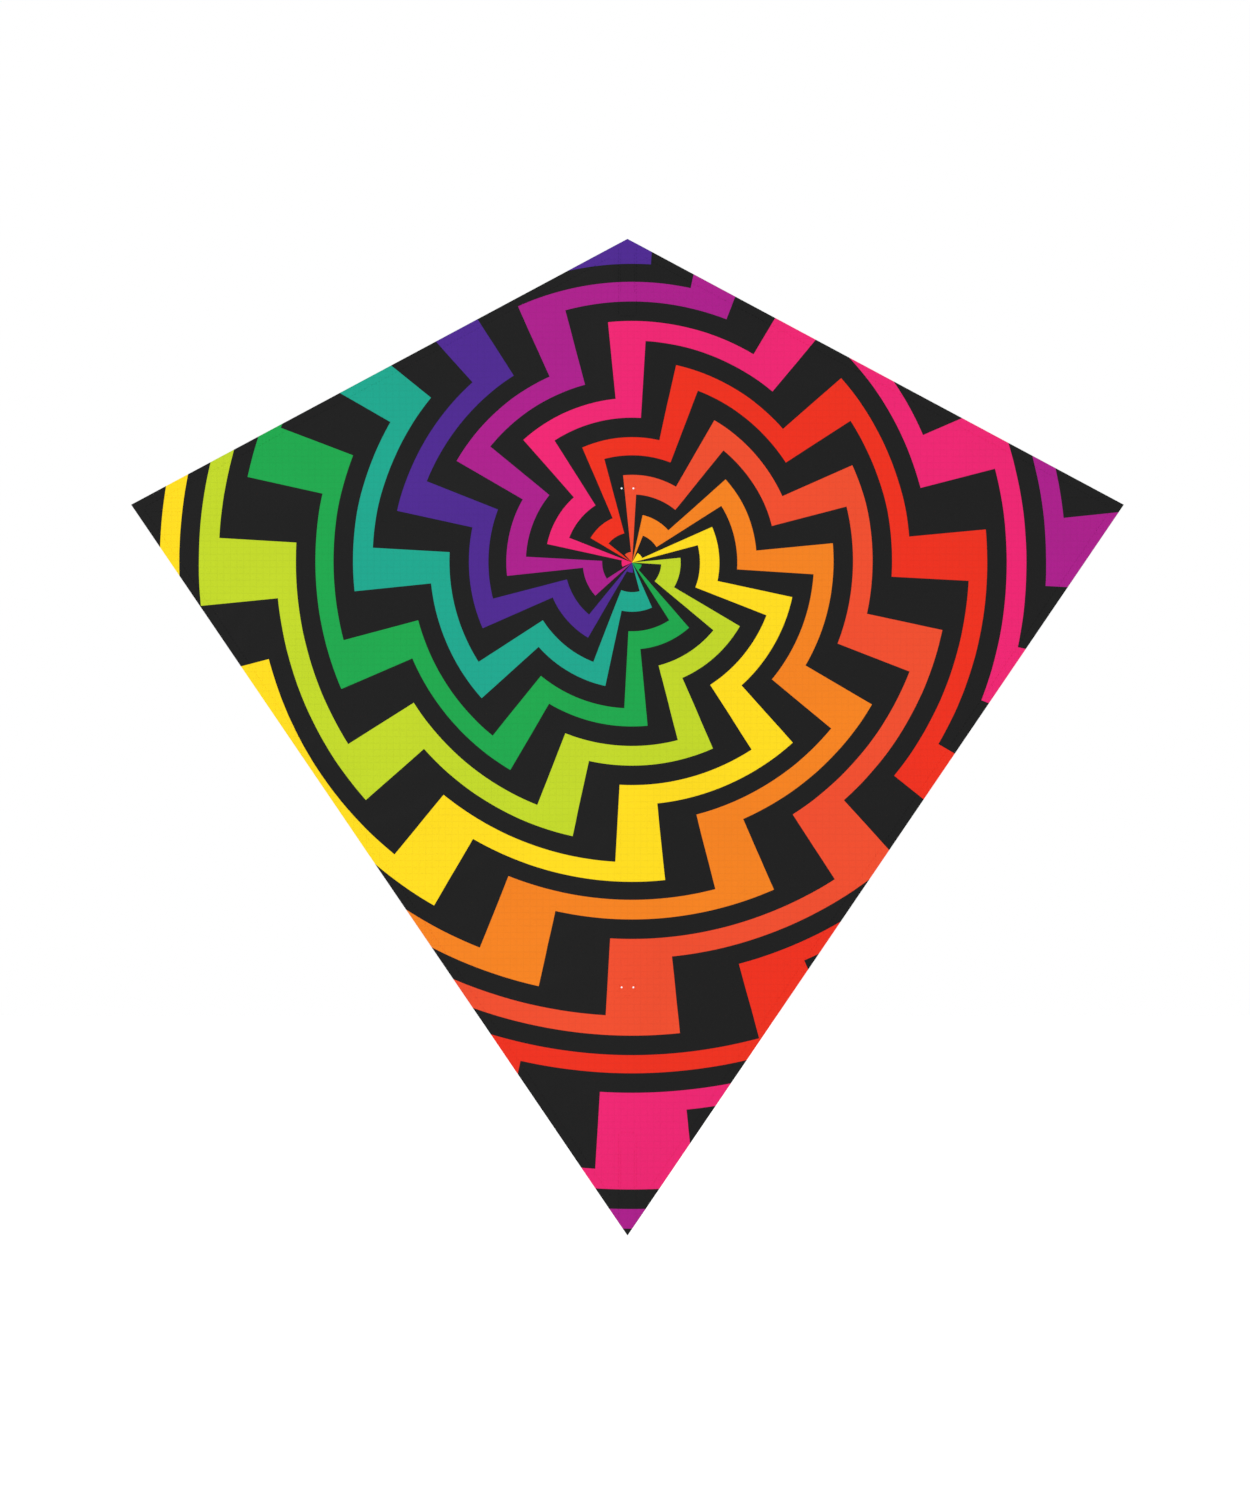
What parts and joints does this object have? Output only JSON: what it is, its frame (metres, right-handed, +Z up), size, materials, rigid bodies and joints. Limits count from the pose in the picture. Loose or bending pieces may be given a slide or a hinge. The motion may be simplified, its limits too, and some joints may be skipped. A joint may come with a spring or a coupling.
{
  "type": "diamond kite",
  "caption": "Diamond kite: printed cloth sail on a spine rod and a two-piece spreader, with wings that fold back beside the spine and a ring for the tail.",
  "frame": {"origin": "middle of the upper pair of bridle holes, on the front face of the sail, 12 mm above the line through the wing tips", "axes": "+Z up the spine towards the nose, +Y from the sail's front to the spars behind it, +X towards the wing on the right as the front is seen"},
  "size_m": [0.762, 0.0588, 0.763],
  "materials": {
    "printed_cloth": "printed polyester taffeta, slight sheen",
    "patch_cloth": "black coated cloth patches",
    "pocket_tape": "black woven tape",
    "glass_fibre": "pultruded glass-fibre rod, off-white, satin",
    "vinyl": "black soft vinyl",
    "stopper_rubber": "black rubber rings",
    "ring_plastic": "black moulded nylon"
  },
  "bodies": {
    "frame": {"sail_centre": "printed_cloth", "nose_patch": "patch_cloth", "tail_patch": "patch_cloth", "upper_bridle_patch": "patch_cloth", "lower_bridle_patch": "patch_cloth", "spine_rod": "glass_fibre", "spine_top_cap": "vinyl", "spine_bottom_cap": "vinyl", "nose_pocket": "pocket_tape", "tail_pocket": "pocket_tape", "upper_stopper": "stopper_rubber", "lower_stopper": "stopper_rubber", "spreader_connector": "vinyl", "tail_tab": "pocket_tape"},
    "left_wing": {"left_sail": "printed_cloth", "left_upper_hem": "printed_cloth", "left_lower_hem": "printed_cloth", "left_spreader": "glass_fibre", "left_spreader_cap": "vinyl", "left_wing_pocket": "pocket_tape"},
    "right_wing": {"right_sail": "printed_cloth", "right_upper_hem": "printed_cloth", "right_lower_hem": "printed_cloth", "right_spreader": "glass_fibre", "right_spreader_cap": "vinyl", "right_wing_pocket": "pocket_tape"},
    "tail_ring": {"tail_ring": "ring_plastic"}
  },
  "joints": [
    {"name": "left_wing_fold", "type": "hinge", "parent": "frame", "child": "left_wing", "pos_m": [-0.008, 0.0002, 0], "axis": [0, 0, -1], "range_deg": [0, 75], "stiffness_Nm_per_rad": 0.03, "deforming": ["spreader_connector"]},
    {"name": "right_wing_fold", "type": "hinge", "parent": "frame", "child": "right_wing", "pos_m": [0.008, 0.0002, 0], "axis": [0, 0, 1], "range_deg": [0, 75], "stiffness_Nm_per_rad": 0.03, "deforming": ["spreader_connector"]},
    {"name": "tail_ring_swing", "type": "hinge", "parent": "frame", "child": "tail_ring", "pos_m": [0, 0.00395, -0.5481], "axis": [1, 0, 0], "range_deg": [0, 100]}
  ]
}
